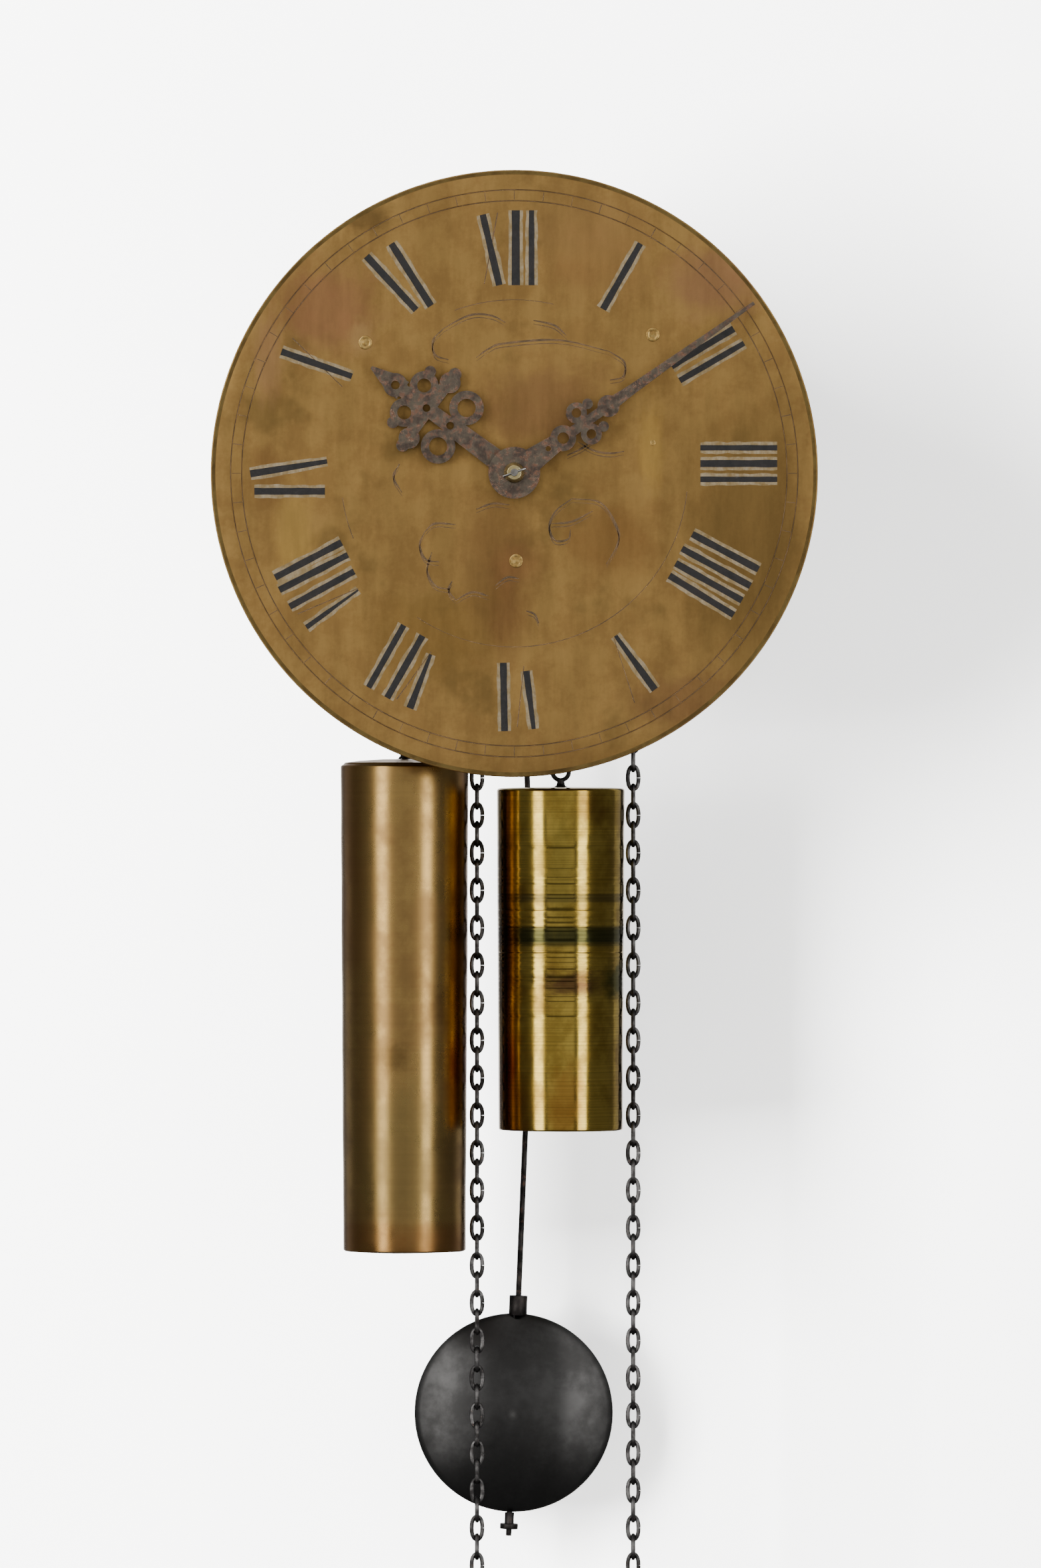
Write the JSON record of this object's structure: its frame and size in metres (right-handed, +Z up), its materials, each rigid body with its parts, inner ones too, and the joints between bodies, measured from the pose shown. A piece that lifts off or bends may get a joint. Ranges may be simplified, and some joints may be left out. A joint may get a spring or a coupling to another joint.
{
  "type": "wall clock",
  "caption": "Weight-driven wall clock with a round brass dial, hung by a hoop on a hook and steadied by spikes, with striking work, chains, weights and a pendulum",
  "frame": {"origin": "the middle of the hoop's flat wall face", "axes": "+X to the right as the clock is read, +Y back into the wall, +Z up"},
  "size_m": [0.254, 0.1582, 0.618],
  "materials": {
    "dial_brass": "old rolled brass, brushed, engraved and filled, mottled with tarnish",
    "plate_brass": "cast and planished clock brass, lightly tarnished",
    "wheel_brass": "cut wheel brass with filed crossings",
    "left_weight_brass": "old brass tube over lead, warm golden brown, smooth with faint mottling",
    "right_weight_brass": "turned brass over lead, greenish gold with turning marks and a tarnished band",
    "bell_metal": "cast and turned bell metal",
    "hand_iron": "hand-filed iron, rusty grey-brown",
    "forged_iron": "hammered wrought iron, oiled black",
    "arbor_steel": "turned and polished carbon steel",
    "chain_steel": "bent steel wire links, worn dark grey",
    "bob_iron": "cast iron bob, ground and blackened",
    "spring_steel": "blued flat spring steel"
  },
  "bodies": {
    "frame": {"front_plate": "plate_brass", "back_plate": "plate_brass", "plate_pillars": "plate_brass", "taper_pins": "arbor_steel", "dial_plate": "dial_brass", "dial_feet": "plate_brass", "hanging_hoop": "forged_iron", "wall_spikes": "forged_iron", "bell": "bell_metal", "bell_stand": "forged_iron", "back_cock": "plate_brass", "suspension_block": "plate_brass", "wheel_posts": "arbor_steel", "hour_bridge": "plate_brass", "frame_screws": "arbor_steel", "chains_over_wheels": "chain_steel"},
    "centre": {"centre_arbor": "arbor_steel", "centre_wheel": "wheel_brass", "cannon_pipe": "wheel_brass", "minute_hand": "hand_iron", "hand_collet": "wheel_brass", "hand_pin": "arbor_steel"},
    "hour": {"hour_wheel": "wheel_brass", "hour_hand": "hand_iron"},
    "minute_wheel": {"minute_wheel": "wheel_brass"},
    "going_great": {"going_great_wheel": "wheel_brass", "going_great_arbor": "arbor_steel", "going_chain_wheel": "wheel_brass", "going_click": "arbor_steel"},
    "third": {"third_wheel": "wheel_brass", "third_arbor": "arbor_steel"},
    "escape": {"escape_wheel": "wheel_brass", "escape_arbor": "arbor_steel"},
    "pallets": {"anchor": "arbor_steel", "pallet_arbor": "arbor_steel"},
    "pendulum": {"suspension_spring": "spring_steel", "spring_clamp": "plate_brass", "pendulum_rod": "forged_iron"},
    "bob": {"pendulum_bob": "bob_iron", "bob_collar": "forged_iron"},
    "rating_nut": {"rating_nut": "forged_iron"},
    "strike_great": {"strike_great_wheel": "wheel_brass", "strike_great_arbor": "arbor_steel", "strike_chain_wheel": "wheel_brass", "strike_click": "arbor_steel"},
    "count_wheel": {"count_wheel": "wheel_brass"},
    "pin": {"pin_wheel": "wheel_brass", "pin_arbor": "arbor_steel"},
    "locking": {"locking_wheel": "wheel_brass", "locking_arbor": "arbor_steel"},
    "warning": {"warning_wheel": "wheel_brass"},
    "fly": {"fly": "wheel_brass"},
    "hammer": {"hammer": "arbor_steel"},
    "strike_detent": {"strike_detent": "arbor_steel"},
    "going_weight": {"going_weight": "right_weight_brass", "going_weight_chain": "chain_steel"},
    "strike_weight": {"strike_weight": "left_weight_brass", "strike_weight_chain": "chain_steel"},
    "going_free_chain": {"going_free_chain": "chain_steel"},
    "strike_free_chain": {"strike_free_chain": "chain_steel"}
  },
  "joints": [
    {"name": "centre_turns", "type": "hinge", "parent": "frame", "child": "centre", "pos_m": [0, -0.085, -0.073], "axis": [0, 1, 0], "continuous": true},
    {"name": "hour_turns", "type": "hinge", "parent": "frame", "child": "hour", "pos_m": [0, -0.1234, -0.073], "axis": [0, 1, 0], "continuous": true},
    {"name": "minute_wheel_turns", "type": "hinge", "parent": "frame", "child": "minute_wheel", "pos_m": [-0.01697, -0.1172, -0.05603], "axis": [0, 1, 0], "continuous": true},
    {"name": "going_great_turns", "type": "hinge", "parent": "frame", "child": "going_great", "pos_m": [0.035, -0.085, -0.085], "axis": [0, 1, 0], "continuous": true},
    {"name": "third_turns", "type": "hinge", "parent": "frame", "child": "third", "pos_m": [0.01383, -0.085, -0.0572], "axis": [0, 1, 0], "continuous": true},
    {"name": "escape_turns", "type": "hinge", "parent": "frame", "child": "escape", "pos_m": [0, -0.085, -0.04545], "axis": [0, 1, 0], "continuous": true},
    {"name": "strike_great_turns", "type": "hinge", "parent": "frame", "child": "strike_great", "pos_m": [-0.0312, -0.085, -0.085], "axis": [0, 1, 0], "continuous": true},
    {"name": "count_wheel_turns", "type": "hinge", "parent": "frame", "child": "count_wheel", "pos_m": [-0.0312, -0.0524, -0.0607], "axis": [0, 1, 0], "continuous": true},
    {"name": "pin_wheel_turns", "type": "hinge", "parent": "frame", "child": "pin", "pos_m": [-0.03421, -0.085, -0.05063], "axis": [0, 1, 0], "continuous": true},
    {"name": "locking_turns", "type": "hinge", "parent": "frame", "child": "locking", "pos_m": [-0.02476, -0.085, -0.03426], "axis": [0, 1, 0], "continuous": true},
    {"name": "warning_turns", "type": "hinge", "parent": "frame", "child": "warning", "pos_m": [-0.02476, -0.085, -0.01626], "axis": [0, 1, 0], "continuous": true},
    {"name": "fly_turns", "type": "hinge", "parent": "frame", "child": "fly", "pos_m": [-0.03923, -0.085, -0.01371], "axis": [0, 1, 0], "continuous": true},
    {"name": "pendulum_swings", "type": "hinge", "parent": "frame", "child": "pendulum", "pos_m": [0, -0.028, -0.02848], "axis": [0, 1, 0], "range_deg": [-3, 3]},
    {"name": "pallets_rock", "type": "hinge", "parent": "frame", "child": "pallets", "pos_m": [0, -0.068, -0.02848], "axis": [0, 1, 0], "range_deg": [-3, 3]},
    {"name": "bob_slides", "type": "slide", "parent": "pendulum", "child": "bob", "axis": [0.0415, 0, 0.9991], "range_m": [-0.0016, 0.0032]},
    {"name": "rating_nut_turns", "type": "hinge", "parent": "bob", "child": "rating_nut", "pos_m": [-0.00225, -0.028, -0.51908], "axis": [0.0415, 0, 0.9991], "range_deg": [-720, 1440]},
    {"name": "hammer_lifts", "type": "hinge", "parent": "frame", "child": "hammer", "pos_m": [-0.056, -0.07, -0.053], "axis": [0, -1, 0], "range_deg": [0, 10]},
    {"name": "detent_lifts", "type": "hinge", "parent": "frame", "child": "strike_detent", "pos_m": [-0.062, -0.085, -0.033], "axis": [0, -1, 0], "range_deg": [0, 8]},
    {"name": "going_weight_swings", "type": "hinge", "parent": "frame", "child": "going_weight", "pos_m": [0.01964, -0.085, -0.085], "axis": [1, 0, 0], "range_deg": [-4, 4]},
    {"name": "going_free_chain_swings", "type": "hinge", "parent": "frame", "child": "going_free_chain", "pos_m": [0.05036, -0.085, -0.085], "axis": [1, 0, 0], "range_deg": [-4, 4]},
    {"name": "strike_weight_swings", "type": "hinge", "parent": "frame", "child": "strike_weight", "pos_m": [-0.04656, -0.085, -0.085], "axis": [1, 0, 0], "range_deg": [-4, 4]},
    {"name": "strike_free_chain_swings", "type": "hinge", "parent": "frame", "child": "strike_free_chain", "pos_m": [-0.01584, -0.085, -0.085], "axis": [1, 0, 0], "range_deg": [-4, 4]}
  ],
  "couplings": [
    {"joint": "hour_turns", "follows": "centre_turns", "ratio": 0.083333},
    {"joint": "minute_wheel_turns", "follows": "centre_turns", "ratio": -1},
    {"joint": "going_great_turns", "follows": "centre_turns", "ratio": -0.16667},
    {"joint": "third_turns", "follows": "centre_turns", "ratio": -9},
    {"joint": "escape_turns", "follows": "centre_turns", "ratio": 90},
    {"joint": "count_wheel_turns", "follows": "strike_great_turns", "ratio": -0.5},
    {"joint": "pin_wheel_turns", "follows": "strike_great_turns", "ratio": -6.5},
    {"joint": "locking_turns", "follows": "strike_great_turns", "ratio": 39},
    {"joint": "warning_turns", "follows": "strike_great_turns", "ratio": -273},
    {"joint": "fly_turns", "follows": "strike_great_turns", "ratio": 1638},
    {"joint": "pallets_rock", "follows": "pendulum_swings", "ratio": 1},
    {"joint": "rating_nut_turns", "follows": "bob_slides", "rad_per_m": 7854}
  ]
}
